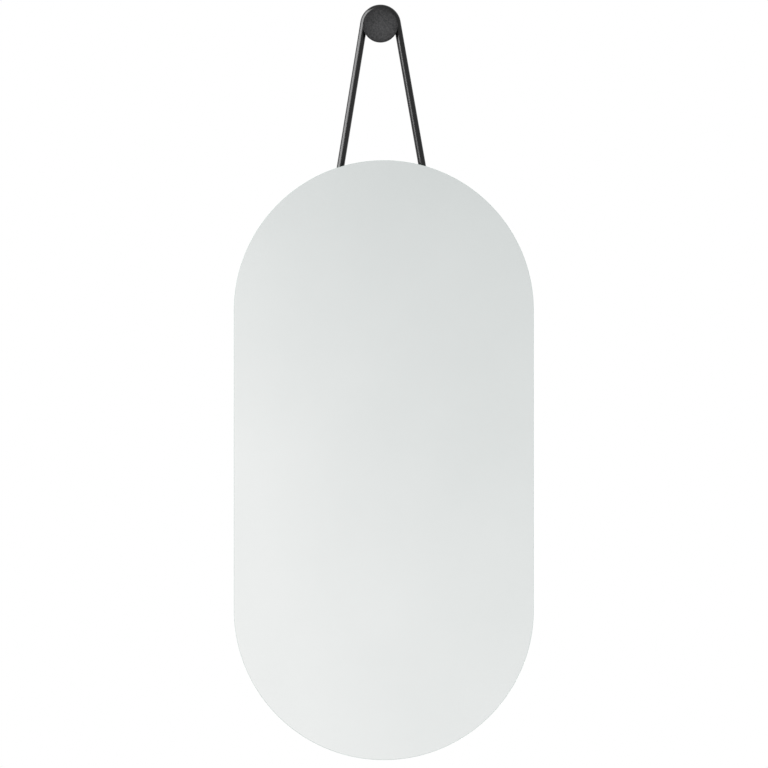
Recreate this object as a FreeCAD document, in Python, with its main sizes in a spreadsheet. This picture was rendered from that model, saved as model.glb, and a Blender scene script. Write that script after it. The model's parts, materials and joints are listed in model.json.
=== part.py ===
import FreeCAD, Part
import math
import os
import Sketcher

# Pill-shaped frameless wall mirror that hangs by a round rubber cord from a turned wall knob.
# Millimetres. The origin is the knob's axis on the wall plane, +X is to the viewer's right, +Z is up
# and the wall plane is y = 0. The mirror faces -Y, so a depth is a distance in front of the wall.

# Driving sizes
SIZES = {
    # glass and the thin layers on its back
    "glass_width": 400,
    "glass_height": 800,
    "glass_thickness": 4,
    "glass_arris": 0.5,
    "coating_thickness": 0.2,
    "film_thickness": 0.3,
    "film_inset": 2,
    # foam tape strips between film and board
    "tape_thickness": 1,
    "tape_width": 25,
    "tape_margin": 35,
    "tape_overrun": 80,
    # fibreboard back and the bumpers that keep it off the wall
    "board_thickness": 16,
    "board_inset": 15,
    "board_chamfer": 2,
    "bumper_height": 3,
    "bumper_diameter": 20,
    "bumper_edge": 0.8,
    "bumper_inset": 30,
    # how the panel hangs below the knob
    "hang_offset": 4.4,
    "apex_drop": 180.5,
    "pivot_drop": 15.5,
    "pivot_spacing": 111.6,
    "pivot_offset": 1.3,
    # cord
    "cord_diameter": 10,
    "cord_clearance": 0.3,
    "cup_rim_drop": 2.5,
    "cord_tail": 2,
    # turned knob
    "groove_diameter": 34,
    "groove_play": 0.5,
    "groove_corner": 2,
    "flange_diameter": 44,
    "flange_thickness": 4.5,
    "flange_edge": 0.8,
    "flange_land": 0.3,
    "boss_diameter": 24,
    "boss_length": 5,
    "cap_diameter": 47,
    "cap_thickness": 8,
    "cap_edge": 0.6,
    "cap_back_edge": 0.5,
    "cap_bore_gap": 0.2,
    "fit_clearance": 0.1,
    # screw and plug in the wall
    "wall_screw_diameter": 5,
    "wall_screw_length": 60,
    "wall_screw_head": 10,
    "wall_screw_tip": 5,
    "wall_screw_socket": 4,
    "wall_screw_socket_depth": 2,
    "plug_diameter": 8,
    "plug_length": 40,
    "plug_ring_depth": 0.4,
    "plug_ring_width": 1.2,
    "plug_ring_pitch": 5,
    "plug_slot_width": 1.2,
    "plug_slot_length": 20,
    "plug_relief_play": 1.5,
    "plug_relief_depth": 1.5,
    # grub screw that holds the cap
    "grub_diameter": 4,
    "grub_recess": 1.5,
    "grub_socket": 2,
    "grub_socket_depth": 2.5,
    # cord anchors in the board
    "channel_clearance": 0.4,
    "shoulder_drop": 38,
    "pocket_width": 26,
    "pocket_play": 0.2,
    "pocket_tail": 4,
    "plate_thickness": 2,
    "plate_hole_clearance": 0.2,
    "ferrule_wall": 1.25,
    "ferrule_length": 16,
    "crimp_clearance": 0.05,
    "crimp_depth": 0.5,
    "crimp_radius": 1.5,
    "crimp_pitch": 5,
    # cover plates over the anchors
    "cover_thickness": 1.2,
    "cover_margin": 10,
    "cover_corner": 4,
    "cover_screw_diameter": 3,
    "cover_screw_length": 12,
    "cover_screw_tip": 3,
    "cover_screw_head": 6,
    "cover_screw_head_height": 1.2,
    "cover_screw_socket": 2.5,
    "cover_screw_socket_depth": 0.8,
}

TAPE_STRIPS = 4
PLUG_RINGS = 4
CRIMPS = 2
SIDES = {"left": -1, "right": 1}
LEVELS = {"lower": -1, "upper": 1}

doc = FreeCAD.newDocument("WallMirror")
sheet = doc.addObject("Spreadsheet::Sheet", "sizes")
for row, (alias, value) in enumerate(SIZES.items(), start=1):
    sheet.set(f"A{row}", alias)
    sheet.set(f"B{row}", str(value))
    sheet.setAlias(f"B{row}", alias)
doc.recompute()

# Sizes that follow from the driving ones, as expressions

# depths of the panel's layers, from the wall outwards
BOARD_BACK = "sizes.bumper_height"
TAPE_BACK = f"({BOARD_BACK} + sizes.board_thickness)"
FILM_BACK = f"({TAPE_BACK} + sizes.tape_thickness)"
COATING_BACK = f"({FILM_BACK} + sizes.film_thickness)"
GLASS_BACK = f"({COATING_BACK} + sizes.coating_thickness)"

# the panel's outline
PANEL_X = "sizes.hang_offset"
PANEL_Z = "(-sizes.apex_drop - sizes.glass_height / 2)"
BOARD_WIDTH = "(sizes.glass_width - 2 * sizes.board_inset)"
STRAIGHT_SIDE = "(sizes.glass_height - sizes.glass_width)"

# the knob's depths and the cord's loop round it
GROOVE_WIDTH = "(sizes.cord_diameter + 2 * sizes.groove_play)"
CORD_DEPTH = f"(sizes.flange_thickness + {GROOVE_WIDTH} / 2)"
GROOVE_FRONT = f"(sizes.flange_thickness + {GROOVE_WIDTH})"
BOSS_FRONT = f"({GROOVE_FRONT} + sizes.boss_length)"
CAP_FRONT = f"({GROOVE_FRONT} + sizes.cap_thickness)"
CORD_RADIUS = "(sizes.cord_diameter / 2)"
WRAP_RADIUS = f"(sizes.groove_diameter / 2 + sizes.cord_clearance + {CORD_RADIUS})"

# the straight legs, from the flex points behind the glass up to the loop, tangent to it
PIVOT_DROP = "(sizes.apex_drop + sizes.pivot_drop)"
PIVOT_X = {}
LEG_ANGLE = {}
LEG_LENGTH = {}
for side in SIDES.values():
    PIVOT_X[side] = f"(sizes.pivot_spacing / 2 + {side} * sizes.pivot_offset)"
    reach = f"hypot({PIVOT_X[side]}; {PIVOT_DROP})"
    LEG_ANGLE[side] = f"(atan({PIVOT_X[side]} / {PIVOT_DROP}) - asin({WRAP_RADIUS} / {reach}))"
    LEG_LENGTH[side] = f"sqrt({reach}^2 - {WRAP_RADIUS}^2)"
WRAP_ANGLE = f"(180 deg - {LEG_ANGLE[SIDES['left']]} - {LEG_ANGLE[SIDES['right']]})"

# the anchors, measured down the leg from the flex point
FERRULE_BORE = "(sizes.cord_diameter + 2 * sizes.crimp_clearance)"
FERRULE_DIAMETER = f"({FERRULE_BORE} + 2 * sizes.ferrule_wall)"
FERRULE_TOP = "(sizes.shoulder_drop + sizes.plate_thickness)"
FERRULE_END = f"({FERRULE_TOP} + sizes.ferrule_length)"
CORD_END = f"({FERRULE_END} + sizes.cord_tail)"
POCKET_END = f"({CORD_END} + sizes.pocket_tail)"
POCKET_FLOOR = f"({CORD_DEPTH} + {FERRULE_DIAMETER} / 2 + sizes.pocket_play)"
COVER_BACK = f"({BOARD_BACK} - sizes.cover_thickness)"
COVER_TOP = "(sizes.shoulder_drop - sizes.cover_margin)"
COVER_END = f"({POCKET_END} + sizes.cover_margin)"
COVER_HALF_WIDTH = "(sizes.pocket_width / 2 + sizes.cover_margin)"
COVER_SCREW_X = "(sizes.pocket_width / 2 + sizes.cover_margin / 2)"
COVER_SCREW_DROPS = {
    "upper": f"({COVER_TOP} + sizes.cover_margin / 2)",
    "lower": f"({COVER_END} - sizes.cover_margin / 2)",
}

nodes = []


def number(expression):
    """The value of an expression, in millimetres or degrees."""
    result = sheet.evalExpression(expression)
    return getattr(result, "Value", result)


def node(item, label):
    """Keep an item as one of the mirror's pieces."""
    item.Label = label
    nodes.append(item)
    return item


def bind(item, **expressions):
    """Tie properties of an item to expressions."""
    for name, expression in expressions.items():
        item.setExpression(name, expression)


def place(item, x="0", y="0", z="0", turn="0"):
    """Set an item at a point, turned by an angle about the axis that runs into the wall."""
    base = f"vector({x}; {y}; {z})"
    item.setExpression("Placement", f"placement({base}; rotation(vector(0; 1; 0); {turn}))")


def place_on_leg(item, side):
    """Set an item that was made below a flex point on the leg of that side."""
    place(item, f"{side} * {PIVOT_X[side]}", "0", f"-{PIVOT_DROP}", f"{-side} * {LEG_ANGLE[side]}")


def new_body(name):
    return doc.addObject("PartDesign::Body", name)


def new_sketch(body, name, role, x="0", y="0", offset="0", turn="0"):
    """A sketch on one of the body's own planes, shifted in it and lifted off it."""
    sketch = body.newObject("Sketcher::SketchObject", name)
    plane = next(item for item in body.Origin.OriginFeatures if item.Role == role)
    sketch.AttachmentSupport = (plane, [""])
    sketch.MapMode = "FlatFace"
    base = f"vector({x}; {y}; {offset})"
    sketch.setExpression("AttachmentOffset", f"placement({base}; rotation(vector(0; 0; 1); {turn}))")
    return sketch


def tie_point(sketch, geometry, position, x, y):
    """Fix a point of a sketch at two expressions from the sketch's origin."""
    for kind, expression in (("DistanceX", x), ("DistanceY", y)):
        constraint = Sketcher.Constraint(kind, -1, 1, geometry, position, number(expression))
        index = sketch.addConstraint(constraint)
        sketch.setExpression(f"Constraints[{index}]", expression)


def tie_radius(sketch, geometry, expression):
    index = sketch.addConstraint(Sketcher.Constraint("Radius", geometry, number(expression)))
    sketch.setExpression(f"Constraints[{index}]", expression)


def draw_polygon(sketch, points):
    """A closed outline through points that are pairs of expressions."""
    corners = [FreeCAD.Vector(number(x), number(y), 0) for x, y in points]
    edges = []
    for start, end in zip(corners, corners[1:] + corners[:1]):
        edges.append(sketch.addGeometry(Part.LineSegment(start, end), False))
    for edge, following in zip(edges, edges[1:] + edges[:1]):
        sketch.addConstraint(Sketcher.Constraint("Coincident", edge, 2, following, 1))
    for edge, (x, y) in zip(edges, points):
        tie_point(sketch, edge, 1, x, y)


def draw_circle(sketch, radius, x="0", y="0"):
    centre = FreeCAD.Vector(number(x), number(y), 0)
    normal = FreeCAD.Vector(0, 0, 1)
    circle = sketch.addGeometry(Part.Circle(centre, normal, number(radius)), False)
    tie_radius(sketch, circle, radius)
    tie_point(sketch, circle, 3, x, y)


def draw_pill(sketch, width, height):
    """Two straight sides joined by half circles, about the sketch's origin."""
    radius = number(width) / 2
    rise = (number(height) - number(width)) / 2
    normal = FreeCAD.Vector(0, 0, 1)
    upper_circle = Part.Circle(FreeCAD.Vector(0, rise, 0), normal, radius)
    lower_circle = Part.Circle(FreeCAD.Vector(0, -rise, 0), normal, radius)
    right_line = Part.LineSegment(FreeCAD.Vector(radius, -rise, 0), FreeCAD.Vector(radius, rise, 0))
    left_line = Part.LineSegment(FreeCAD.Vector(-radius, rise, 0), FreeCAD.Vector(-radius, -rise, 0))
    upper_arc = sketch.addGeometry(Part.ArcOfCircle(upper_circle, 0, math.pi), False)
    left_side = sketch.addGeometry(left_line, False)
    lower_arc = sketch.addGeometry(Part.ArcOfCircle(lower_circle, math.pi, 2 * math.pi), False)
    right_side = sketch.addGeometry(right_line, False)
    ring = [upper_arc, left_side, lower_arc, right_side]
    for edge, following in zip(ring, ring[1:] + ring[:1]):
        sketch.addConstraint(Sketcher.Constraint("Tangent", edge, 2, following, 1))
    sketch.addConstraint(Sketcher.Constraint("Vertical", left_side))
    sketch.addConstraint(Sketcher.Constraint("Vertical", right_side))
    tie_radius(sketch, upper_arc, f"{width} / 2")
    tie_point(sketch, upper_arc, 3, "0", f"({height} - {width}) / 2")
    fall = sketch.addConstraint(Sketcher.Constraint("DistanceY", -1, 1, lower_arc, 3, -rise))
    sketch.setExpression(f"Constraints[{fall}]", f"({width} - {height}) / 2")


def pad(body, sketch, name, length):
    """Material from a sketch, out of the wall."""
    feature = body.newObject("PartDesign::Pad", name)
    feature.Profile = sketch
    bind(feature, Length=length)
    doc.recompute()
    return feature


def pocket(body, sketch, name, length, outwards=True):
    """A cut from a sketch, which has to take material away."""
    before = body.Shape.Volume
    feature = body.newObject("PartDesign::Pocket", name)
    feature.Profile = sketch
    feature.Reversed = outwards
    bind(feature, Length=length)
    doc.recompute()
    if body.Shape.Volume >= before:
        raise RuntimeError(f"{name} cuts nothing")
    return feature


def dress(body, kind, name, size, wanted):
    """A fillet or chamfer on the edges of the body that pass a test."""
    base = body.Tip
    edges = [f"Edge{i}" for i, edge in enumerate(base.Shape.Edges, start=1) if wanted(edge)]
    if not edges:
        raise RuntimeError(f"{name} finds no edge")
    feature = body.newObject(f"PartDesign::{kind}", name)
    feature.Base = (base, edges)
    bind(feature, **{"Radius" if kind == "Fillet" else "Size": size})
    doc.recompute()
    return feature


def at_depth(edge, depth):
    """Whether an edge lies flat at a distance in front of the wall."""
    tolerance = 1e-4
    box = edge.BoundBox
    return box.YLength < tolerance and abs(box.YMax + depth) < tolerance


def is_rim(edge, radius, depth):
    """Whether an edge is the circle of that radius at a distance in front of the wall."""
    tolerance = 1e-4
    return at_depth(edge, depth) and abs(edge.BoundBox.XMax - radius) < tolerance


def turn_profile(name, points):
    """A body turned about the axis that runs into the wall, from pairs of radius and depth."""
    body = new_body(name)
    sketch = new_sketch(body, f"{name}_profile", "YZ_Plane")
    draw_polygon(sketch, [(f"-({depth})", radius) for radius, depth in points])
    feature = body.newObject("PartDesign::Revolution", f"{name}_turning")
    feature.Profile = sketch
    feature.ReferenceAxis = (sketch, ["H_Axis"])
    feature.Angle = 360
    doc.recompute()
    return body


def pill_body(name, inset, back, thickness):
    """A flat pill that follows the glass outline at an inset."""
    body = new_body(name)
    sketch = new_sketch(body, f"{name}_outline", "XZ_Plane", PANEL_X, PANEL_Z, back)
    draw_pill(sketch, f"(sizes.glass_width - 2 * {inset})", f"(sizes.glass_height - 2 * {inset})")
    pad(body, sketch, f"{name}_pad", thickness)
    return body


def primitive(kind, name, **expressions):
    item = doc.addObject(f"Part::{kind}", name)
    bind(item, **expressions)
    return item


def cut(name, base, tool):
    item = doc.addObject("Part::Cut", name)
    item.Base = base
    item.Tool = tool
    return item


def fuse(name, items):
    item = doc.addObject("Part::MultiFuse", name)
    item.Shapes = items
    return item


def hex_prism(name, across_flats, length):
    """The tool that cuts a hexagon socket, upright."""
    item = primitive("Prism", name, Circumradius=f"{across_flats} / sqrt(3)", Height=length)
    item.Polygon = 6
    return item


def lay_back(item, front):
    """Lay an upright item down, so that it runs from a depth in front of the wall towards the wall."""
    base = f"vector(0; -{front}; 0)"
    item.setExpression("Placement", f"placement({base}; rotation(vector(1; 0; 0); -90))")


# Mirror panel

def make_glass():
    body = pill_body("mirror_glass", "0", GLASS_BACK, "sizes.glass_thickness")
    back = number(GLASS_BACK)
    front = back + number("sizes.glass_thickness")
    dress(body, "Chamfer", "glass_arris_cut", "sizes.glass_arris",
          lambda edge: at_depth(edge, back) or at_depth(edge, front))
    node(body, "mirror_glass")


def make_layers():
    """Silvering with its paint, and the film that holds the pieces if the glass breaks."""
    coating = pill_body("silver_coating", "sizes.glass_arris", COATING_BACK, "sizes.coating_thickness")
    node(coating, "silver_coating")
    film = pill_body("safety_film", "sizes.film_inset", FILM_BACK, "sizes.film_thickness")
    node(film, "safety_film")


def make_tape():
    """Upright strips of foam tape, spread evenly over the board's width."""
    pitch = f"(({BOARD_WIDTH} - 2 * sizes.tape_margin - sizes.tape_width) / {TAPE_STRIPS - 1})"
    length = f"({STRAIGHT_SIDE} + 2 * sizes.tape_overrun)"
    for index in range(TAPE_STRIPS):
        steps = index - (TAPE_STRIPS - 1) / 2
        strip = primitive("Box", f"tape_strip_{index + 1}", Length="sizes.tape_width",
                          Width="sizes.tape_thickness", Height=length)
        place(strip, f"{PANEL_X} + {steps} * {pitch} - sizes.tape_width / 2", f"-{FILM_BACK}",
              f"{PANEL_Z} - {length} / 2")
        node(strip, f"tape_strip_{index + 1}")


def make_board():
    """Fibreboard with a routed channel and pocket for each cord end, open towards the wall."""
    body = pill_body("backing_board", "sizes.board_inset", BOARD_BACK, "sizes.board_thickness")
    back = number(BOARD_BACK)
    dress(body, "Chamfer", "board_back_chamfer", "sizes.board_chamfer",
          lambda edge: at_depth(edge, back))
    half_channel = f"({CORD_RADIUS} + sizes.channel_clearance)"
    half_pocket = "(sizes.pocket_width / 2)"
    mouth = "sizes.pivot_drop"
    shoulder = "-sizes.shoulder_drop"
    end = f"-{POCKET_END}"
    outline = [
        (f"-{half_channel}", mouth),
        (f"-{half_channel}", shoulder),
        (f"-{half_pocket}", shoulder),
        (f"-{half_pocket}", end),
        (half_pocket, end),
        (half_pocket, shoulder),
        (half_channel, shoulder),
        (half_channel, mouth),
    ]
    for side_name, side in SIDES.items():
        at_leg = (f"{side} * {PIVOT_X[side]}", f"-{PIVOT_DROP}", BOARD_BACK, f"{side} * {LEG_ANGLE[side]}")
        recess = new_sketch(body, f"anchor_recess_{side_name}", "XZ_Plane", *at_leg)
        draw_polygon(recess, outline)
        pocket(body, recess, f"anchor_pocket_{side_name}", f"{POCKET_FLOOR} - {BOARD_BACK}")
        pilots = new_sketch(body, f"pilot_holes_{side_name}", "XZ_Plane", *at_leg)
        for drop in COVER_SCREW_DROPS.values():
            for across in SIDES.values():
                draw_circle(pilots, "(sizes.cover_screw_diameter / 2 + sizes.fit_clearance)",
                            f"{across} * {COVER_SCREW_X}", f"-{drop}")
        pocket(body, pilots, f"pilot_drilling_{side_name}",
               "sizes.cover_screw_length - sizes.cover_thickness + sizes.fit_clearance")
    node(body, "backing_board")


def make_bumpers():
    """Soft round feet on the board's back, at the ends of the straight sides."""
    for level_name, level in LEVELS.items():
        for side_name, side in SIDES.items():
            name = f"wall_bumper_{level_name}_{side_name}"
            body = new_body(name)
            sketch = new_sketch(body, f"{name}_outline", "XZ_Plane",
                                f"{PANEL_X} + {side} * ({BOARD_WIDTH} / 2 - sizes.bumper_inset)",
                                f"{PANEL_Z} + {level} * {STRAIGHT_SIDE} / 2")
            draw_circle(sketch, "(sizes.bumper_diameter / 2)")
            pad(body, sketch, f"{name}_pad", "sizes.bumper_height")
            dress(body, "Fillet", f"{name}_edge", "sizes.bumper_edge", lambda edge: at_depth(edge, 0))
            node(body, name)


# Cord

def make_hanging_cord():
    """The free cord: a loop over the knob and two straight legs with round ends at the flex points."""
    wrap = primitive("Torus", "cord_wrap", Radius1=WRAP_RADIUS, Radius2=CORD_RADIUS, Angle3=WRAP_ANGLE)
    base = f"vector(0; -{CORD_DEPTH}; 0)"
    start = LEG_ANGLE[SIDES["right"]]
    wrap.setExpression("Placement", f"placement({base}; rotation(0 deg; -{start}; 90 deg))")
    pieces = [wrap]
    for side_name, side in SIDES.items():
        at_flex = (f"{side} * {PIVOT_X[side]}", f"-{CORD_DEPTH}", f"-{PIVOT_DROP}",
                   f"{-side} * {LEG_ANGLE[side]}")
        leg = primitive("Cylinder", f"cord_leg_{side_name}", Radius=CORD_RADIUS, Height=LEG_LENGTH[side])
        place(leg, *at_flex)
        tip = primitive("Sphere", f"cord_tip_{side_name}", Radius=CORD_RADIUS)
        place(tip, *at_flex)
        pieces += [leg, tip]
    node(fuse("hanging_cord", pieces), "hanging_cord")


def make_cord_anchor(side_name, side):
    """The held cord end with its crimped ferrule, bearing on a plate at the pocket's shoulders."""
    length = f"({CORD_END} - sizes.cup_rim_drop)"
    core = primitive("Cylinder", f"cord_end_core_{side_name}", Radius=CORD_RADIUS, Height=length)
    place(core, "0", f"-{CORD_DEPTH}", f"-{CORD_END}")
    cup = primitive("Sphere", f"cord_end_cup_{side_name}", Radius=f"{CORD_RADIUS} + sizes.cord_clearance")
    place(cup, "0", f"-{CORD_DEPTH}", "0")
    cord_end = cut(f"cord_end_{side_name}", core, cup)
    place_on_leg(cord_end, side)
    node(cord_end, f"cord_end_{side_name}")

    sleeve = primitive("Cylinder", f"ferrule_sleeve_{side_name}", Radius=f"{FERRULE_DIAMETER} / 2",
                       Height="sizes.ferrule_length")
    place(sleeve, "0", f"-{CORD_DEPTH}", f"-{FERRULE_END}")
    bore = primitive("Cylinder", f"ferrule_bore_{side_name}", Radius=f"{FERRULE_BORE} / 2",
                     Height="sizes.ferrule_length")
    place(bore, "0", f"-{CORD_DEPTH}", f"-{FERRULE_END}")
    tools = [bore]
    for index in range(CRIMPS):
        steps = index - (CRIMPS - 1) / 2
        dent = primitive("Torus", f"crimp_{side_name}_{index + 1}", Radius2="sizes.crimp_radius",
                         Radius1=f"{FERRULE_DIAMETER} / 2 - sizes.crimp_depth + sizes.crimp_radius")
        middle = f"({FERRULE_TOP} + sizes.ferrule_length / 2)"
        place(dent, "0", f"-{CORD_DEPTH}", f"-{middle} + {steps} * sizes.crimp_pitch")
        tools.append(dent)
    ferrule = cut(f"cord_ferrule_{side_name}", sleeve, fuse(f"ferrule_tools_{side_name}", tools))
    place_on_leg(ferrule, side)
    node(ferrule, f"cord_ferrule_{side_name}")

    width = "(sizes.pocket_width - 2 * sizes.pocket_play)"
    depth = f"({POCKET_FLOOR} - {BOARD_BACK} - 2 * sizes.pocket_play)"
    blank = primitive("Box", f"plate_blank_{side_name}", Length=width, Width=depth,
                      Height="sizes.plate_thickness")
    place(blank, f"-{width} / 2", f"-{POCKET_FLOOR} + sizes.pocket_play", f"-{FERRULE_TOP}")
    hole = primitive("Cylinder", f"plate_hole_{side_name}", Height="sizes.plate_thickness",
                     Radius=f"{CORD_RADIUS} + sizes.plate_hole_clearance")
    place(hole, "0", f"-{CORD_DEPTH}", f"-{FERRULE_TOP}")
    plate = cut(f"anchor_plate_{side_name}", blank, hole)
    place_on_leg(plate, side)
    node(plate, f"anchor_plate_{side_name}")


def make_anchor_cover(side_name, side):
    """The thin plate that closes an anchor pocket towards the wall."""
    name = f"anchor_cover_{side_name}"
    body = new_body(name)
    sketch = new_sketch(body, f"{name}_outline", "XZ_Plane", offset=COVER_BACK)
    draw_polygon(sketch, [
        (f"-{COVER_HALF_WIDTH}", f"-{COVER_TOP}"),
        (f"-{COVER_HALF_WIDTH}", f"-{COVER_END}"),
        (COVER_HALF_WIDTH, f"-{COVER_END}"),
        (COVER_HALF_WIDTH, f"-{COVER_TOP}"),
    ])
    pad(body, sketch, f"{name}_sheet", "sizes.cover_thickness")
    thickness = number("sizes.cover_thickness")
    tolerance = 1e-4
    dress(body, "Fillet", f"{name}_corners", "sizes.cover_corner",
          lambda edge: abs(edge.BoundBox.YLength - thickness) < tolerance)
    holes = new_sketch(body, f"{name}_holes", "XZ_Plane", offset=COVER_BACK)
    for drop in COVER_SCREW_DROPS.values():
        for across in SIDES.values():
            draw_circle(holes, "(sizes.cover_screw_diameter / 2 + sizes.fit_clearance)",
                        f"{across} * {COVER_SCREW_X}", f"-{drop}")
    pocket(body, holes, f"{name}_drilling", "sizes.cover_thickness")
    place_on_leg(body, side)
    node(body, name)


def make_cover_screws(side_name, side):
    """Four low-headed wood screws through the corners of a cover."""
    radius = "(sizes.cover_screw_diameter / 2)"
    head_radius = "(sizes.cover_screw_head / 2)"
    head_back = f"({COVER_BACK} - sizes.cover_screw_head_height)"
    tip = f"({COVER_BACK} + sizes.cover_screw_length)"
    screws = []
    for drop_name, drop in COVER_SCREW_DROPS.items():
        for across_name, across in SIDES.items():
            name = f"cover_screw_{side_name}_{drop_name}_{across_name}"
            blank = turn_profile(f"{name}_blank", [
                ("0", head_back),
                (head_radius, head_back),
                (head_radius, COVER_BACK),
                (radius, COVER_BACK),
                (radius, f"{tip} - sizes.cover_screw_tip"),
                ("0", tip),
            ])
            socket = hex_prism(f"{name}_socket", "sizes.cover_screw_socket",
                               "sizes.cover_screw_socket_depth")
            lay_back(socket, f"({head_back} + sizes.cover_screw_socket_depth)")
            screw = cut(name, blank, socket)
            place(screw, f"{across} * {COVER_SCREW_X}", "0", f"-{drop}")
            screws.append(screw)
    group = doc.addObject("Part::Compound", f"cover_screws_{side_name}")
    group.Links = screws
    place_on_leg(group, side)
    node(group, f"cover_screws_{side_name}")


# Wall knob

def make_knob_base():
    """Spool with a rear flange, the cord groove and a boss for the cap, countersunk for the screw."""
    hole = "(sizes.wall_screw_diameter / 2 + sizes.fit_clearance)"
    sink = "(sizes.wall_screw_head / 2 + sizes.fit_clearance)"
    relief = "(sizes.plug_diameter / 2 + sizes.plug_relief_play)"
    flange = "(sizes.flange_diameter / 2)"
    groove = "(sizes.groove_diameter / 2)"
    boss = "(sizes.boss_diameter / 2)"
    body = turn_profile("knob_base", [
        (hole, "sizes.plug_relief_depth"),
        (relief, "sizes.plug_relief_depth"),
        (relief, "0"),
        (flange, "0"),
        (flange, "sizes.flange_thickness"),
        (groove, "sizes.flange_thickness"),
        (groove, GROOVE_FRONT),
        (boss, GROOVE_FRONT),
        (boss, BOSS_FRONT),
        (sink, BOSS_FRONT),
        (hole, f"{BOSS_FRONT} - ({sink} - {hole})"),
    ])
    front = number("sizes.flange_thickness")
    rim = number(flange)
    root = number(groove)
    # the corner at the groove's root leaves a land on the flange's face beside the rounded rim
    corner = f"min(sizes.groove_corner; {flange} - {groove} - sizes.flange_edge - sizes.flange_land)"
    dress(body, "Fillet", "flange_rounding", "sizes.flange_edge", lambda edge: is_rim(edge, rim, front))
    dress(body, "Fillet", "groove_rounding", corner, lambda edge: is_rim(edge, root, front))
    node(body, "knob_base")


def make_knob_cap():
    """Disc with a rounded front edge, a blind bore over the boss and a tapped hole from below."""
    bore = "(sizes.boss_diameter / 2 + sizes.fit_clearance)"
    bore_end = f"({BOSS_FRONT} + sizes.cap_bore_gap)"
    rim = "(sizes.cap_diameter / 2)"
    body = turn_profile("knob_cap", [
        ("0", bore_end),
        (bore, bore_end),
        (bore, GROOVE_FRONT),
        (rim, GROOVE_FRONT),
        (rim, CAP_FRONT),
        ("0", CAP_FRONT),
    ])
    radius = number(rim)
    front = number(CAP_FRONT)
    back = number(GROOVE_FRONT)
    dress(body, "Fillet", "cap_front_rounding", "sizes.cap_edge",
          lambda edge: is_rim(edge, radius, front))
    dress(body, "Fillet", "cap_back_rounding", "sizes.cap_back_edge",
          lambda edge: is_rim(edge, radius, back))
    tapping = new_sketch(body, "grub_hole", "XY_Plane")
    draw_circle(tapping, "(sizes.grub_diameter / 2 + sizes.fit_clearance)", "0",
                f"-({GROOVE_FRONT} + sizes.boss_length / 2)")
    pocket(body, tapping, "grub_drilling", "sizes.cap_diameter", outwards=False)
    node(body, "knob_cap")


def make_cap_set_screw():
    """Grub screw that presses on the boss from below."""
    top = "(sizes.boss_diameter / 2 + sizes.fit_clearance)"
    end = "(sizes.cap_diameter / 2 - sizes.grub_recess)"
    depth = f"({GROOVE_FRONT} + sizes.boss_length / 2)"
    shank = primitive("Cylinder", "grub_shank", Radius="sizes.grub_diameter / 2", Height=f"{end} - {top}")
    place(shank, "0", f"-{depth}", f"-{end}")
    socket = hex_prism("grub_socket_tool", "sizes.grub_socket", "sizes.grub_socket_depth")
    place(socket, "0", f"-{depth}", f"-{end}")
    node(cut("cap_set_screw", shank, socket), "cap_set_screw")


def make_wall_screw():
    """Countersunk screw through the base, its head flush with the boss."""
    radius = "(sizes.wall_screw_diameter / 2)"
    head = "(sizes.wall_screw_head / 2)"
    tip = f"({BOSS_FRONT} - sizes.wall_screw_length)"
    blank = turn_profile("wall_screw_blank", [
        ("0", BOSS_FRONT),
        (head, BOSS_FRONT),
        (radius, f"{BOSS_FRONT} - ({head} - {radius})"),
        (radius, f"{tip} + sizes.wall_screw_tip"),
        ("0", tip),
    ])
    socket = hex_prism("wall_screw_socket_tool", "sizes.wall_screw_socket", "sizes.wall_screw_socket_depth")
    lay_back(socket, BOSS_FRONT)
    node(cut("wall_screw", blank, socket), "wall_screw")


def make_wall_plug():
    """Split nylon plug with shallow grip rings, flush with the wall."""
    outer = "(sizes.plug_diameter / 2)"
    ring = f"({outer} - sizes.plug_ring_depth)"
    bore = "(sizes.wall_screw_diameter / 2 + sizes.fit_clearance)"
    points = [(bore, "0"), (outer, "0")]
    for index in range(PLUG_RINGS):
        start = f"{index + 1} * sizes.plug_ring_pitch"
        points += [
            (outer, f"-({start})"),
            (ring, f"-({start} + sizes.plug_ring_width / 2)"),
            (outer, f"-({start} + sizes.plug_ring_width)"),
        ]
    points += [(outer, "-sizes.plug_length"), (bore, "-sizes.plug_length")]
    blank = turn_profile("wall_plug_blank", points)
    slot = primitive("Box", "wall_plug_slot", Length="sizes.plug_slot_width",
                     Width="sizes.plug_slot_length", Height="sizes.plug_diameter")
    place(slot, "-sizes.plug_slot_width / 2", "sizes.plug_length - sizes.plug_slot_length",
          "-sizes.plug_diameter / 2")
    node(cut("wall_plug", blank, slot), "wall_plug")


make_knob_base()
make_knob_cap()
make_cap_set_screw()
make_wall_screw()
make_wall_plug()
make_hanging_cord()
for side_name, side in SIDES.items():
    make_cord_anchor(side_name, side)
    make_anchor_cover(side_name, side)
    make_cover_screws(side_name, side)
make_board()
make_tape()
make_layers()
make_glass()
make_bumpers()
doc.recompute()

# Every object has to be sound before anything is written
for item in doc.Objects:
    if "Invalid" in item.State or "Error" in item.State:
        raise RuntimeError(f"{item.Label} failed: {item.State}")
for item in nodes:
    if item.Shape.isNull() or not item.Shape.isValid():
        raise RuntimeError(f"{item.Label} has no sound shape")

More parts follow.
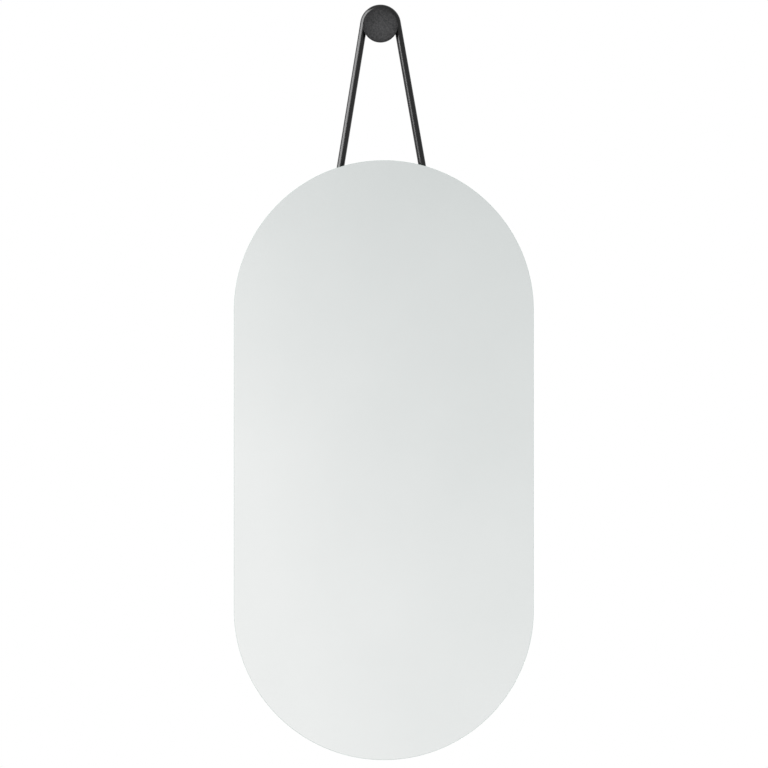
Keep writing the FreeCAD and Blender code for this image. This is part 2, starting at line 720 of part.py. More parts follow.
# The cord's tube against its section times its length
section = math.pi * number(CORD_RADIUS) ** 2
wrap_length = number(WRAP_RADIUS) * math.radians(number(WRAP_ANGLE))
free_length = sum(number(length) for length in LEG_LENGTH.values()) + wrap_length
tips_volume = 4 / 3 * math.pi * number(CORD_RADIUS) ** 3
cord_volume = next(item for item in nodes if item.Label == "hanging_cord").Shape.Volume
print(f"cord: loop radius {number(WRAP_RADIUS):.2f}")
for side_name, side in SIDES.items():
    leg_length = number(LEG_LENGTH[side])
    leg_angle = number(LEG_ANGLE[side])
    print(f"cord: {side_name} leg {leg_length:.2f} at {leg_angle:.3f} degrees")
print(f"cord: free length {free_length:.1f}, whole length {free_length + 2 * number(CORD_END):.1f}")
tube_volume = section * free_length + tips_volume
print(f"cord: volume {cord_volume:.0f}, section times length with tips {tube_volume:.0f}")

os.makedirs("parts", exist_ok=True)
for item in nodes:
    item.Shape.exportStep(f"parts/{item.Label}.step")
    print(f"{item.Label}: {len(item.Shape.Solids)} solid(s), {item.Shape.Volume:.1f} mm3")
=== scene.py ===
import json
import math

import bmesh
import bpy
from mathutils import Matrix, Vector


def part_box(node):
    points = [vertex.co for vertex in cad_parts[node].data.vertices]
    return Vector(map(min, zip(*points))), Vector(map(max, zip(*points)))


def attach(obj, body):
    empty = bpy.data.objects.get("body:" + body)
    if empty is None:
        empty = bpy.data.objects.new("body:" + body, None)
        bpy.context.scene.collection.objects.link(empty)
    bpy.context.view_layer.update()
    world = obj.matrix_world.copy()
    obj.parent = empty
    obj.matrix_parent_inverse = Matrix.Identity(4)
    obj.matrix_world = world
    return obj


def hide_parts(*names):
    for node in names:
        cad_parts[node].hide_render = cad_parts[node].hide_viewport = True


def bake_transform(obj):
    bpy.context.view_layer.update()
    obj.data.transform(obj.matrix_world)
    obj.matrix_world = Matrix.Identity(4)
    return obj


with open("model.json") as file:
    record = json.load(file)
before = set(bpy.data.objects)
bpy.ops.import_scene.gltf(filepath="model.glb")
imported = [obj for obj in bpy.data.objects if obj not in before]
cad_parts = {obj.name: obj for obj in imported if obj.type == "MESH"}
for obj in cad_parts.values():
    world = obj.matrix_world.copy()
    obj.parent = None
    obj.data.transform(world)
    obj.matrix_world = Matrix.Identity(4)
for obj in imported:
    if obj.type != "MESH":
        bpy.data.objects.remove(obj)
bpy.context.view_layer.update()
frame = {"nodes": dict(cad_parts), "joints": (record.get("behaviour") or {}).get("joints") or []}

# Looks of the pill-shaped wall mirror. Sizes of the object are in millimetres, as in the part's source:
# x to the viewer's right, z up, and a depth is a distance in front of the wall plane, towards -y.
# Sizes of the stage are in metres.
MM = 0.001


def span(node, axis):
    """The lowest and highest place of a CAD node along an axis."""
    low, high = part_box(node)
    return low[axis] / MM, high[axis] / MM


def middle(node, axis):
    return sum(span(node, axis)) / 2


def half_size(node, axis):
    low, high = span(node, axis)
    return (high - low) / 2


def depths(node):
    """The back and the front of a CAD node, as depths."""
    front, back = span(node, 1)
    return -back, -front


def joint_place(name):
    """The place of a joint's axis."""
    joint = next(joint for joint in frame["joints"] if joint["name"] == name)
    return [value / MM for value in joint["pos_m"]]


# Panel
PANEL_X = middle("mirror_glass", 0)
PANEL_Z = middle("mirror_glass", 2)
GLASS_HALF_WIDTH = half_size("mirror_glass", 0)
GLASS_BACK, GLASS_FRONT = depths("mirror_glass")
GLASS_ARRIS = 0.5
COATING_BACK = depths("silver_coating")[0]
COATING_INSET = GLASS_HALF_WIDTH - half_size("silver_coating", 0)
FILM_BACK = depths("safety_film")[0]
FILM_INSET = GLASS_HALF_WIDTH - half_size("safety_film", 0)
LAYER_GAP = 0.01
BOARD_BACK, BOARD_FRONT = depths("backing_board")
BOARD_INSET = GLASS_HALF_WIDTH - half_size("backing_board", 0)
BOARD_CHAMFER = 2.0
BOARD_EDGE = 0.4
# The frame's facets leave the round ends of the glass a little short, but not those of the board
GLASS_HALF_HEIGHT = half_size("backing_board", 2) + BOARD_INSET
ARC_STEPS = 96

# Cord
CORD_BACK, CORD_FRONT = depths("cord_end_left")
CORD_DIAMETER = CORD_FRONT - CORD_BACK
CORD_DEPTH = (CORD_BACK + CORD_FRONT) / 2
CORD_SIDES = 40
CORD_RESOLUTION = 64
# x and z of the cord's route, from its left end in the board over the knob to its right end
CORD_ROUTE = [
    (-63.8, -253.2),
    (-31.5, -55.0),
    (-23.5, -5.9),
    (-20.7, 11.8),
    (-8.0, 22.3),
    (8.0, 22.3),
    (20.6, 11.9),
    (23.6, -5.4),
    (32.3, -55.0),
    (67.1, -253.1),
]

# Where the cord flexes
FLEX_Z = joint_place("tilt")[2]

# Cord anchors, made upright with the point where the cord flexes at the origin, and then set on the leg
SIDES = ("left", "right")
LEG_ENDS = {"left": (CORD_ROUTE[0], CORD_ROUTE[1]), "right": (CORD_ROUTE[-1], CORD_ROUTE[-2])}
CHANNEL_CLEARANCE = 0.4
CHANNEL_HALF_WIDTH = CORD_DIAMETER / 2 + CHANNEL_CLEARANCE
CHANNEL_MOUTH = 20.0
POCKET_HALF_WIDTH = 13.0
POCKET_TOP = -38.0
POCKET_END = -62.0
POCKET_PLAY = 0.2
POCKET_FLOOR = depths("cord_ferrule_left")[1] + POCKET_PLAY
COVER_BACK = depths("anchor_cover_left")[0]
COVER_MARGIN = 10.0
COVER_HALF_WIDTH = POCKET_HALF_WIDTH + COVER_MARGIN
COVER_TOP = POCKET_TOP + COVER_MARGIN
COVER_END = POCKET_END - COVER_MARGIN
COVER_CORNER = 4.0
COVER_EDGE = 0.35
COVER_EASE = 0.3 * COVER_EDGE
COVER_SCREW_X = POCKET_HALF_WIDTH + COVER_MARGIN / 2
COVER_SCREW_HEIGHTS = (COVER_TOP - COVER_MARGIN / 2, COVER_END + COVER_MARGIN / 2)

# Cover screws
SCREW_BACK, SCREW_END = depths("cover_screws_left")
SCREW_HEAD_RADIUS = 3.0
SCREW_HEAD_EDGE = 0.8
SCREW_RADIUS = 1.5
SCREW_TIP = 3.0
SCREW_POINT_RADIUS = 0.1
SCREW_SOCKET = 2.5
SCREW_SOCKET_DEPTH = 0.8

# Wall bumpers
LEVELS = ("lower", "upper")
BUMPER_RADIUS = half_size("wall_bumper_lower_left", 0)
BUMPER_EDGE = 0.8

# Wall knob
FIT_CLEARANCE = 0.1
FLANGE_RADIUS = half_size("knob_base", 0)
FLANGE_FRONT = 4.5
FLANGE_EDGE = 0.8
GROOVE_RADIUS = 17.0
GROOVE_CORNER = 2.0
BOSS_RADIUS = 12.0
BOSS_FRONT = depths("knob_base")[1]
CAP_RADIUS = half_size("knob_cap", 0)
CAP_BACK, CAP_FRONT = depths("knob_cap")
CAP_EDGE = 0.6
CAP_BACK_EDGE = 0.5
CAP_BORE_RADIUS = BOSS_RADIUS + FIT_CLEARANCE
CAP_BORE_GAP = 0.2
CAP_BORE_END = BOSS_FRONT + CAP_BORE_GAP
GRUB_HOLE_RADIUS = half_size("cap_set_screw", 0) + FIT_CLEARANCE
GRUB_DEPTH = (CAP_BACK + BOSS_FRONT) / 2
WALL_SCREW_RADIUS = 2.5
KNOB_HOLE_RADIUS = WALL_SCREW_RADIUS + FIT_CLEARANCE
COUNTERSINK_RADIUS = half_size("wall_screw", 0) + FIT_CLEARANCE
# Distances from the disc's edge at which the painted shade that darkens its rim begins and is full
PAINTED_RIM_SHADE_START = 4.0
PAINTED_RIM_SHADE_FULL = 0.5

# Wall plug
PLUG_RADIUS = half_size("wall_plug", 0)
PLUG_BORE_RADIUS = KNOB_HOLE_RADIUS
PLUG_END = depths("wall_plug")[0]
PLUG_TIP = 0.6
PLUG_RINGS = 4
PLUG_RING_PITCH = 5.0
PLUG_RING_WIDTH = 1.2
PLUG_RING_DEPTH = 0.4
PLUG_SLOT_WIDTH = 1.2
PLUG_SLOT_LENGTH = 20.0
# The hollow in the base that leaves room for the plug's rim
RELIEF_RADIUS = PLUG_RADIUS + 1.5
RELIEF_DEPTH = 1.5

# How far a sharp edge is eased, and how far from a rounding the flat face beside it begins
EASE = 0.3
HOLD = 0.2
# How far a cutting shape reaches past what it cuts
OVERCUT = 1.0
# Edges with a sharper turn than this, in degrees, aren't smoothed over
SHARP_TURN = 35

# The photograph's frame: its side, the place of the knob's axis, and the size of a pixel at the glass
FRAME_PIXELS = 768
KNOB_PIXEL_X = 380.5
KNOB_PIXEL_Z = 24.9
PIXEL_SIZE = 1.3338

# Camera and stage, in metres
VIEW_WIDTH = FRAME_PIXELS * PIXEL_SIZE * MM
CAMERA_X = (FRAME_PIXELS / 2 - KNOB_PIXEL_X) * PIXEL_SIZE * MM
CAMERA_Z = (KNOB_PIXEL_Z - FRAME_PIXELS / 2) * PIXEL_SIZE * MM
CAMERA_DISTANCE = 40.0
ROOM_RADIUS = 3.2
FLOOR_SIZE = 10.0
FLOOR_Z = -1.25
# Distances between which the floor fades into white, and the room ahead into the room around
FLOOR_FADE = (0.6, 3.0)
ROOM_FADE = (0.6, 1.3)
# How the room's tone changes across it, per metre and per square metre
ROOM_SLOPE = (-0.256, 0, -0.245)
ROOM_BOW = (0.45, 0, -0.19)
# Strength of the world's light on surfaces
WORLD_LIGHT = 0.45

# Camera's sensor, in millimetres
SENSOR_WIDTH = 36.0


# Materials

def new_surface(name, **constants):
    """A principled material; returns it with its node tree and its shader."""
    material = bpy.data.materials.new(name)
    material.use_nodes = True
    tree = material.node_tree
    shader = tree.nodes["Principled BSDF"]
    for socket, value in constants.items():
        shader.inputs[socket.replace("_", " ")].default_value = value
    return material, tree, shader


def object_point(tree, stretch=(1, 1, 1), shift=(0, 0, 0)):
    """Places on the object in metres, scaled along each axis and then shifted."""
    source = tree.nodes.new("ShaderNodeTexCoord")
    mapping = tree.nodes.new("ShaderNodeMapping")
    mapping.inputs["Scale"].default_value = stretch
    mapping.inputs["Location"].default_value = shift
    tree.links.new(source.outputs["Object"], mapping.inputs["Vector"])
    return mapping.outputs["Vector"]


def noise(tree, scale, detail=2.0, roughness=0.5, stretch=(1, 1, 1)):
    node = tree.nodes.new("ShaderNodeTexNoise")
    node.inputs["Scale"].default_value = scale
    node.inputs["Detail"].default_value = detail
    node.inputs["Roughness"].default_value = roughness
    tree.links.new(object_point(tree, stretch), node.inputs["Vector"])
    return node.outputs[0]


def cells(tree, scale):
    node = tree.nodes.new("ShaderNodeTexVoronoi")
    node.inputs["Scale"].default_value = scale
    tree.links.new(object_point(tree), node.inputs["Vector"])
    return node.outputs["Distance"]


def round_patch(tree, x, z, radius):
    """A value that falls from 1 on a line along y through x and z to 0 at a radius in metres."""
    node = tree.nodes.new("ShaderNodeTexGradient")
    node.gradient_type = "SPHERICAL"
    scale = 1 / radius
    point = object_point(tree, (scale, 0, scale), (-x * scale, 0, -z * scale))
    tree.links.new(point, node.inputs["Vector"])
    return node.outputs["Fac"]


def bands(tree, direction, scale, stretch=(1, 1, 1), shift=(0, 0, 0)):
    """Even sine bands across one axis or a diagonal."""
    node = tree.nodes.new("ShaderNodeTexWave")
    node.bands_direction = direction
    node.inputs["Scale"].default_value = scale
    tree.links.new(object_point(tree, stretch, shift), node.inputs["Vector"])
    return node.outputs["Fac"]


def spread(tree, source, low, high, start=0.3, end=0.7):
    """A value from low to high as the source goes from start to end."""
    node = tree.nodes.new("ShaderNodeMapRange")
    node.inputs["From Min"].default_value = start
    node.inputs["From Max"].default_value = end
    node.inputs["To Min"].default_value = low
    node.inputs["To Max"].default_value = high
    tree.links.new(source, node.inputs["Value"])
    return node.outputs["Result"]


def combine(tree, operation, first, second):
    node = tree.nodes.new("ShaderNodeMath")
    node.operation = operation
    tree.links.new(first, node.inputs[0])
    tree.links.new(second, node.inputs[1])
    return node.outputs["Value"]


def vector_value(tree, operation, first, second=None):
    """A number from one or two vectors."""
    node = tree.nodes.new("ShaderNodeVectorMath")
    node.operation = operation
    tree.links.new(first, node.inputs[0])
    if second:
        node.inputs[1].default_value = second
    return node.outputs["Value"]


def tones(tree, source, *stops):
    """Colours along a source, from pairs of place and colour."""
    node = tree.nodes.new("ShaderNodeValToRGB")
    ramp = node.color_ramp
    while len(ramp.elements) < len(stops):
        ramp.elements.new(0.5)
    for element, (place, colour) in zip(ramp.elements, stops):
        element.position = place
        element.color = (*colour, 1)
    tree.links.new(source, node.inputs["Fac"])
    return node.outputs["Color"]


def relief(tree, shader, height, strength, distance):
    """Bump of a height in metres."""
    node = tree.nodes.new("ShaderNodeBump")
    node.inputs["Strength"].default_value = strength
    node.inputs["Distance"].default_value = distance
    tree.links.new(height, node.inputs["Height"])
    tree.links.new(node.outputs["Normal"], shader.inputs["Normal"])


def rubber_cord():
    """Smooth extruded black rubber with a satin gloss."""
    material, tree, shader = new_surface("satin_black_rubber", IOR=1.5, Specular_IOR_Level=0.36)
    tone = noise(tree, 60, detail=3)
    colour = tones(tree, tone, (0.3, (0.0045, 0.0045, 0.0048)), (0.7, (0.0080, 0.0080, 0.0085)))
    tree.links.new(colour, shader.inputs["Base Color"])
    polish = noise(tree, 220, detail=3)
    tree.links.new(spread(tree, polish, 0.20, 0.24), shader.inputs["Roughness"])
    relief(tree, shader, noise(tree, 2600, detail=2), 0.04, 0.00003)
    return material


def powder_coat():
    """Black textured powder coat, with painted light that makes the face paler towards the lower right,
    and painted shade that darkens the rim.
    """
    material, tree, shader = new_surface("black_powder_coat", IOR=1.48, Specular_IOR_Level=0.12)
    speckle = noise(tree, 700, detail=2, roughness=0.6)
    # Painted light: a round patch makes the face paler towards the lower right
    painted_light_patch = round_patch(tree, x=0.003, z=-0.006, radius=0.030)
    blend = combine(tree, "ADD", spread(tree, speckle, 0, 0.5, 0.36, 0.64),
                    spread(tree, painted_light_patch, 0, 0.5, 0, 1))
    # Painted shade: the colour darkens towards the disc's edge, across its rounded rim
    from_axis = vector_value(tree, "LENGTH", object_point(tree, (1, 0, 1)))
    rim = spread(tree, from_axis, 1, 0.35, (CAP_RADIUS - PAINTED_RIM_SHADE_START) * MM, (CAP_RADIUS - PAINTED_RIM_SHADE_FULL) * MM)
    blend = combine(tree, "MULTIPLY", blend, rim)
    colour = tones(tree, blend, (0.0, (0.0105, 0.0105, 0.0110)), (1.0, (0.0725, 0.0725, 0.0745)))
    tree.links.new(colour, shader.inputs["Base Color"])
    tree.links.new(spread(tree, speckle, 0.78, 0.66), shader.inputs["Roughness"])
    grain = combine(tree, "ADD", noise(tree, 1500, detail=2), noise(tree, 4200, detail=2))
    relief(tree, shader, grain, 0.35, 0.00012)
    return material


def clear_glass():
    """Float glass: a faint green, with a slow waviness and barely visible wiping haze."""
    material, tree, shader = new_surface("clear_glass", Transmission_Weight=1.0, IOR=1.52)
    haze = noise(tree, 7, detail=4, stretch=(1, 1, 0.4))
    colour = tones(tree, haze, (0.3, (0.978, 0.990, 0.985)), (0.7, (0.984, 0.995, 0.990)))
    tree.links.new(colour, shader.inputs["Base Color"])
    shader.inputs["Roughness"].default_value = 0.0
    relief(tree, shader, noise(tree, 5, detail=1), 0.02, 0.0002)
    return material


def edge_glass(name, transmission, dark, light):
    """Ground and polished glass with faint streaks along the edge."""
    material, tree, shader = new_surface(name, Transmission_Weight=transmission, IOR=1.52)
    streak = noise(tree, 900, detail=2, stretch=(0.15, 3, 0.15))
    tree.links.new(tones(tree, streak, (0.3, dark), (0.7, light)), shader.inputs["Base Color"])
    tree.links.new(spread(tree, streak, 0.12, 0.22), shader.inputs["Roughness"])
    relief(tree, shader, streak, 0.1, 0.00002)
    return material


def glass_arris():
    """The narrow slope between the face and the edge, which is almost clear."""
    return edge_glass("glass_arris", 0.55, (0.62, 0.73, 0.69), (0.72, 0.81, 0.78))


def glass_edge():
    """The edge itself, with the green of the glass's depth."""
    return edge_glass("glass_edge", 0.20, (0.20, 0.38, 0.31), (0.33, 0.52, 0.45))


def mirror_silver():
    """The silver behind the glass, with faint clouds in its tone."""
    material, tree, shader = new_surface("mirror_silver", Metallic=1.0, Roughness=0.0)
    cloud = noise(tree, 9, detail=4)
    colour = tones(tree, cloud, (0.3, (0.925, 0.938, 0.934)), (0.7, (0.938, 0.950, 0.946)))
    tree.links.new(colour, shader.inputs["Base Color"])
    return material


def backing_paint():
    """Grey-green protective paint on the back of the silver."""
    material, tree, shader = new_surface("mirror_backing_paint", IOR=1.5)
    orange_peel = noise(tree, 500, detail=3)
    colour = tones(tree, orange_peel, (0.3, (0.120, 0.140, 0.138)), (0.7, (0.160, 0.182, 0.178)))
    tree.links.new(colour, shader.inputs["Base Color"])
    tree.links.new(spread(tree, orange_peel, 0.42, 0.55), shader.inputs["Roughness"])
    relief(tree, shader, orange_peel, 0.2, 0.00004)
    return material


def woven_film():
    """Pale grey safety film with a woven carrier."""
    material, tree, shader = new_surface("woven_safety_film", IOR=1.49)
    weave = combine(tree, "MULTIPLY", bands(tree, "X", 260), bands(tree, "Z", 260))
    colour = tones(tree, weave, (0.0, (0.43, 0.44, 0.45)), (0.8, (0.56, 0.57, 0.58)))
    tree.links.new(colour, shader.inputs["Base Color"])
    tree.links.new(spread(tree, noise(tree, 80, detail=3), 0.30, 0.45), shader.inputs["Roughness"])
    relief(tree, shader, weave, 0.5, 0.0001)
    return material


def fibreboard():
    """Raw medium density fibreboard: pressed fibres, flecks and a slow change of tone."""
    material, tree, shader = new_surface("raw_fibreboard", IOR=1.45)
    slow = noise(tree, 9, detail=5, roughness=0.6)
    fibre = noise(tree, 900, detail=5, roughness=0.75, stretch=(1, 1, 0.75))
    blend = combine(tree, "ADD", spread(tree, slow, 0.1, 0.32), spread(tree, fibre, 0.0, 0.6, 0.25, 0.75))
    colour = tones(tree, blend, (0.05, (0.235, 0.150, 0.082)), (0.45, (0.345, 0.232, 0.132)),
                   (0.95, (0.455, 0.325, 0.200)))
    tree.links.new(colour, shader.inputs["Base Color"])
    tree.links.new(spread(tree, fibre, 0.88, 0.74), shader.inputs["Roughness"])
    relief(tree, shader, fibre, 0.3, 0.00015)
    return material


def zinc_steel(name="zinc_plated_steel", dark=(0.360, 0.370, 0.385), light=(0.450, 0.455, 0.455)):
    """Zinc-plated steel with fine rolling lines and a faint crystal pattern."""
    material, tree, shader = new_surface(name, Metallic=1.0)
    crystal = combine(tree, "ADD", spread(tree, cells(tree, 420), 0, 0.5, 0, 1),
                      spread(tree, noise(tree, 300, detail=4), 0, 0.5))
    tree.links.new(tones(tree, crystal, (0.1, dark), (0.8, light)), shader.inputs["Base Color"])
    lines = noise(tree, 1200, detail=2, stretch=(1, 1, 0.04))
    tree.links.new(spread(tree, lines, 0.28, 0.42), shader.inputs["Roughness"])
    relief(tree, shader, lines, 0.08, 0.00003)
    return material


def black_steel():
    """Black-oxidised steel."""
    material, tree, shader = new_surface("black_oxide_steel", Metallic=1.0)
    patch = noise(tree, 900, detail=3)
    colour = tones(tree, patch, (0.3, (0.045, 0.045, 0.048)), (0.7, (0.085, 0.085, 0.088)))
    tree.links.new(colour, shader.inputs["Base Color"])
    tree.links.new(spread(tree, patch, 0.35, 0.5), shader.inputs["Roughness"])
    return material


def grey_nylon():
    """Moulded grey nylon with a fine spark-eroded skin."""
    material, tree, shader = new_surface("grey_nylon", IOR=1.53)
    skin = noise(tree, 1800, detail=2)
    colour = tones(tree, noise(tree, 150, detail=3), (0.3, (0.480, 0.490, 0.500)),
                   (0.7, (0.570, 0.580, 0.590)))
    tree.links.new(colour, shader.inputs["Base Color"])
    tree.links.new(spread(tree, skin, 0.40, 0.52), shader.inputs["Roughness"])
    relief(tree, shader, skin, 0.2, 0.00004)
    return material


def bumper_rubber():
    """Soft matt grey polyurethane with a little dust."""
    material, tree, shader = new_surface("matt_bumper_rubber", IOR=1.5)
    dust = noise(tree, 600, detail=4)
    colour = tones(tree, dust, (0.35, (0.055, 0.055, 0.057)), (0.75, (0.105, 0.103, 0.100)))
    tree.links.new(colour, shader.inputs["Base Color"])
    tree.links.new(spread(tree, dust, 0.62, 0.8), shader.inputs["Roughness"])
    relief(tree, shader, dust, 0.15, 0.00006)
    return material


def dark_foam():
    """Closed-cell dark foam of the mounting tape."""
    material, tree, shader = new_surface("dark_foam", IOR=1.4)
    cell = cells(tree, 2200)
    colour = tones(tree, cell, (0.0, (0.060, 0.060, 0.060)), (0.6, (0.125, 0.125, 0.123)))
    tree.links.new(colour, shader.inputs["Base Color"])
    tree.links.new(spread(tree, cell, 0.75, 0.9, 0.0, 0.6), shader.inputs["Roughness"])
    relief(tree, shader, cell, 0.4, 0.0001)
    return material


# Shapes

def smooth(data):
    """Smooth shading between sharp edges; faces of more than four sides are flat ends."""
    data.set_sharp_from_angle(angle=math.radians(SHARP_TURN))
    data.polygons.foreach_set("use_smooth", [len(face.vertices) <= 4 for face in data.polygons])


def finish_mesh(name, mesh):
    """An object from a bmesh."""
    bmesh.ops.recalc_face_normals(mesh, faces=mesh.faces[:])
    data = bpy.data.meshes.new(name)
    mesh.to_mesh(data)
    mesh.free()
    smooth(data)
    piece = bpy.data.objects.new(name, data)
    bpy.context.scene.collection.objects.link(piece)
    return piece


def loft(name, rings, closed=False):
    """A skin over rings of points in millimetres, with flat ends unless the rings close on themselves."""
    mesh = bmesh.new()
    loops = [[mesh.verts.new(Vector(point) * MM) for point in ring] for ring in rings]
    pairs = list(zip(loops, loops[1:]))
    if closed:
        pairs.append((loops[-1], loops[0]))
    for first, second in pairs:
        for i in range(len(first)):
            j = (i + 1) % len(first)
            mesh.faces.new((first[i], second[i], second[j], first[j]))
    if not closed:
        mesh.faces.new(loops[0])
        mesh.faces.new(loops[-1])
    return finish_mesh(name, mesh)


def turned(name, profile, steps, closed=False):
    """Pairs of radius and depth, turned about the axis that runs into the wall at x = z = 0."""
    angles = [2 * math.pi * step / steps for step in range(steps)]
    rings = []
    for radius, depth in profile:
        rings.append([(radius * math.cos(angle), -depth, radius * math.sin(angle)) for angle in angles])
    return loft(name, rings, closed)


def arc(x, y, size, start, end, steps=8):
    """Points of a rounding about a centre, between two angles in degrees."""
    points = []
    for step in range(steps + 1):
        angle = math.radians(start + (end - start) * step / steps)
        points.append((x + size * math.cos(angle), y + size * math.sin(angle)))
    return points


def pill_outline(inset):
    """The glass outline at an inset, as x and z."""
    rise = GLASS_HALF_HEIGHT - GLASS_HALF_WIDTH
    radius = GLASS_HALF_WIDTH - inset
    upper = arc(PANEL_X, PANEL_Z + rise, radius, 0, 180, ARC_STEPS)
    lower = arc(PANEL_X, PANEL_Z - rise, radius, 180, 360, ARC_STEPS)
    return upper + lower


def plate_outline(inset):
    """The outline of a cover plate with round corners, below the flex point."""
    half = COVER_HALF_WIDTH - COVER_CORNER
    top = COVER_TOP - COVER_CORNER
    bottom = COVER_END + COVER_CORNER
    points = []
    for x, z, start in ((half, top, 0), (-half, top, 90), (-half, bottom, 180), (half, bottom, 270)):
        points += arc(x, z, COVER_CORNER - inset, start, start + 90, 10)
    return points


def slab(name, outline, sections):
    """A flat piece whose edge runs through pairs of inset and depth."""
    return loft(name, [[(x, -depth, z) for x, z in outline(inset)] for inset, depth in sections])


def prism(name, outline, back, front):
    """An outline of x and z, carried between two depths."""
    return loft(name, [[(x, -depth, z) for x, z in outline] for depth in (back, front)])


def on_leg(side):
    """The place of an anchor that was made below the flex point of one side."""
    (end_x, end_z), (top_x, top_z) = LEG_ENDS[side]
    lean = math.atan2(top_x - end_x, top_z - end_z)
    flex_x = end_x + (FLEX_Z - end_z) * math.tan(lean)
    return Matrix.Translation((flex_x * MM, 0, FLEX_Z * MM)) @ Matrix.Rotation(lean, 4, "Y")


def apply_place(piece, matrix):
    """Move a piece's mesh, so that the object stays at the origin."""
    piece.data.transform(matrix)
    piece.data.update()


def subtract(piece, *tools):
    """Cut tools out of a piece, for good."""
    for tool in tools:
        modifier = piece.modifiers.new("cut", "BOOLEAN")
        modifier.operation = "DIFFERENCE"
        modifier.solver = "EXACT"
        modifier.object = tool
    bpy.context.view_layer.update()
    view = bpy.context.evaluated_depsgraph_get()
    data = bpy.data.meshes.new_from_object(piece.evaluated_get(view))
    piece.modifiers.clear()
    piece.data = data
    smooth(data)
    for tool in tools:
        bpy.data.objects.remove(tool)


def merge(name, pieces):
    """One piece from several."""
    mesh = bmesh.new()
    for piece in pieces:
        mesh.from_mesh(piece.data)
        bpy.data.objects.remove(piece)
    return finish_mesh(name, mesh)


def settle(piece, body, slot, materials, *nodes):
    """Give a piece its body and materials, and hide the CAD nodes that it stands for; the slot is not
    used.
    """
    piece.data.materials.clear()
    for material in materials:
        piece.data.materials.append(material)
    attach(piece, body)
    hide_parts(*nodes)


# Camera

def make_camera():
    data = bpy.data.cameras.new("camera")
    data.sensor_width = SENSOR_WIDTH
    data.lens = SENSOR_WIDTH * CAMERA_DISTANCE / VIEW_WIDTH
    camera = bpy.data.objects.new("camera", data)
    camera.location = (CAMERA_X, -GLASS_FRONT * MM - CAMERA_DISTANCE, CAMERA_Z)
    camera.rotation_euler = (math.pi / 2, 0, 0)
    bpy.context.scene.collection.objects.link(camera)
    bpy.context.scene.camera = camera


# Cord

def cord_line():
    """Points along the cord, read from a spline with the route's points as its control points."""
    curve = bpy.data.curves.new("cord_route", "CURVE")
    curve.dimensions = "3D"
    curve.resolution_u = CORD_RESOLUTION
    spline = curve.splines.new("NURBS")
    spline.points.add(len(CORD_ROUTE) - 1)
    for point, (x, z) in zip(spline.points, CORD_ROUTE):
        point.co = (x * MM, -CORD_DEPTH * MM, z * MM, 1)
    spline.order_u = 3
    spline.use_endpoint_u = True
    holder = bpy.data.objects.new("cord_route", curve)
    line = bpy.data.meshes.new_from_object(holder)
    points = [vertex.co.copy() for vertex in line.vertices]
    bpy.data.objects.remove(holder)
    bpy.data.curves.remove(curve)
    bpy.data.meshes.remove(line)
    return points


def make_cord():
    """One round rubber tube over the knob, whose legs run down behind the glass into the board."""
    points = cord_line()
    out_of_wall = Vector((0, -1, 0))
    rings = []
    for index, point in enumerate(points):
        before = points[max(index - 1, 0)]
        after = points[min(index + 1, len(points) - 1)]
        along = (after - before).normalized()
        across = along.cross(out_of_wall)
        ring = []
        for step in range(CORD_SIDES):
            angle = 2 * math.pi * step / CORD_SIDES
            radial = math.cos(angle) * across + math.sin(angle) * out_of_wall
            ring.append(point / MM + radial * CORD_DIAMETER / 2)
        rings.append(ring)
    cord = loft("rubber_cord", rings)
    cord.data.materials.append(rubber_cord())
    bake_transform(cord)
    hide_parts("hanging_cord", "cord_end_left", "cord_end_right")
    return cord


# Mirror panel

def make_glass():
    """The pane with its rounded arrises; its back face carries the silver."""
    # the slope from face to edge with two eased corners, as shares of the arris
    slope = [(1.0, 0.0), (0.8, 0.04), (0.66, 0.14), (0.14, 0.66), (0.04, 0.8), (0.0, 1.0)]
    arris = [(inset * GLASS_ARRIS, fall * GLASS_ARRIS) for inset, fall in slope]
    front = [(inset, GLASS_FRONT - fall) for inset, fall in arris]
    back = [(inset, GLASS_BACK + fall) for inset, fall in reversed(arris)]
    pane = slab("glass_pane", pill_outline, front + back)
    finishes = [clear_glass(), mirror_silver(), glass_arris(), glass_edge()]
    settle(pane, "mirror_panel", "glass", finishes, "mirror_glass")
    front_face, back_face, arris_face, edge_face = range(len(finishes))
    for face in pane.data.polygons:
        if len(face.vertices) > 4:
            face.material_index = front_face if face.normal.y < 0 else back_face
        else:
            sloping = abs(face.normal.y) > 0.1
            face.material_index = arris_face if sloping else edge_face


def make_layers():
    """The painted back of the silver, and the film."""
    coating = slab("silver_backing", pill_outline, [
        (COATING_INSET, GLASS_BACK - LAYER_GAP),
        (COATING_INSET, COATING_BACK),
    ])
    settle(coating, "mirror_panel", "silver", [backing_paint()], "silver_coating")
    film = slab("film_sheet", pill_outline, [
        (FILM_INSET, COATING_BACK - LAYER_GAP),
        (FILM_INSET, FILM_BACK),
    ])
    settle(film, "mirror_panel", "film", [woven_film()], "safety_film")


